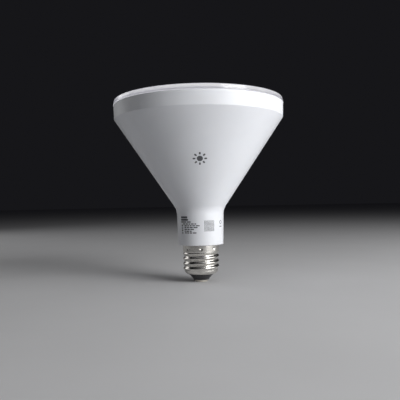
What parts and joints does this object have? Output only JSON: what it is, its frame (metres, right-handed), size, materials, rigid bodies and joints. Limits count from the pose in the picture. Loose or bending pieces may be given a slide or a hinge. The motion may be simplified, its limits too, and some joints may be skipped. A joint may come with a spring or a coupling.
{
  "type": "smart light bulb",
  "caption": "Smart reflector lamp with a white cone-shaped housing, a flat opal lens, an Edison screw cap, and a driver, a radio board and white and colour emitters inside.",
  "frame": {"origin": "centre of the centre contact's flat tip, the lowest point of the lamp", "axes": "+Z along the lamp's axis from the screw cap to the lens; -Y is the side that carries the prints; X is across"},
  "size_m": [0.123, 0.123, 0.1318],
  "materials": {
    "contact_metal": "tinned brass, satin",
    "black_insulator": "moulded, satin",
    "shell_metal": "nickel-plated, satin",
    "white_housing": "white satin outside, fine moulded texture",
    "cast_aluminium": "die-cast",
    "sheet_aluminium": "pressed sheet",
    "screw_steel": "zinc-plated",
    "thermal_pad": "soft, matte",
    "white_board": "aluminium core under white solder mask",
    "warm_emitter": "phosphor, warm",
    "cool_emitter": "phosphor, cool",
    "red_emitter": "clear dome over a red die",
    "green_emitter": "clear dome over a green die",
    "blue_emitter": "clear dome over a blue die",
    "black_connector": "moulded",
    "white_reflector": "white, highly reflective",
    "glue": "cured silicone",
    "opal_lens": "opal, translucent",
    "white_case": "moulded, flame-proof",
    "green_board": "glass-fibre board, green solder mask",
    "green_resistor": "flame-proof lacquer",
    "blue_varistor": "dipped epoxy",
    "ferrite": "sintered",
    "copper_wire": "enamelled copper",
    "yellow_capacitor": "moulded box",
    "chip_black": "moulded epoxy",
    "capacitor_sleeve": "shrink sleeve over an aluminium can",
    "bobbin_plastic": "moulded",
    "winding_tape": "polyester tape over the winding",
    "moulded_inductor": "pressed iron powder",
    "chip_ceramic": "with tinned ends",
    "solder": "bright",
    "gold_pin": "gold-plated",
    "radio_board": "glass-fibre board, blue solder mask",
    "shield_steel": "tinned",
    "antenna_copper": "gold-plated copper trace",
    "red_wire": "PVC sleeve",
    "black_wire": "PVC sleeve",
    "grey_ink": "pad-printed ink"
  },
  "bodies": {
    "root": {"centre_contact": "contact_metal", "cap_insulator": "black_insulator", "screw_shell": "shell_metal", "housing": "white_housing", "heat_sink": "cast_aluminium", "heat_spreader": "sheet_aluminium", "spreader_screws": "screw_steel", "thermal_pad": "thermal_pad", "led_board": "white_board", "led_board_screws": "screw_steel", "warm_white_leds": "warm_emitter", "cool_white_leds": "cool_emitter", "red_leds": "red_emitter", "green_leds": "green_emitter", "blue_leds": "blue_emitter", "led_socket": "black_connector", "reflector": "white_reflector", "lens_glue_bead": "glue", "diffuser_lens": "opal_lens", "driver_case": "white_case", "driver_case_lid": "white_case", "driver_board": "green_board", "fuse_resistor": "green_resistor", "varistor": "blue_varistor", "inductor_core": "ferrite", "inductor_coil": "copper_wire", "film_capacitor": "yellow_capacitor", "bridge_rectifier": "chip_black", "bulk_capacitors": "capacitor_sleeve", "transformer_core": "ferrite", "transformer_bobbin": "bobbin_plastic", "transformer_winding": "winding_tape", "output_capacitors": "capacitor_sleeve", "channel_inductors": "moulded_inductor", "driver_chips": "chip_black", "chip_passives": "chip_ceramic", "solder_joints": "solder", "led_header": "black_connector", "led_header_pins": "gold_pin", "radio_header": "black_connector", "radio_header_pins": "gold_pin", "radio_board": "radio_board", "radio_chips": "chip_black", "radio_shield": "shield_steel", "antenna": "antenna_copper", "live_wire": "red_wire", "neutral_wire": "black_wire"}
  },
  "joints": []
}
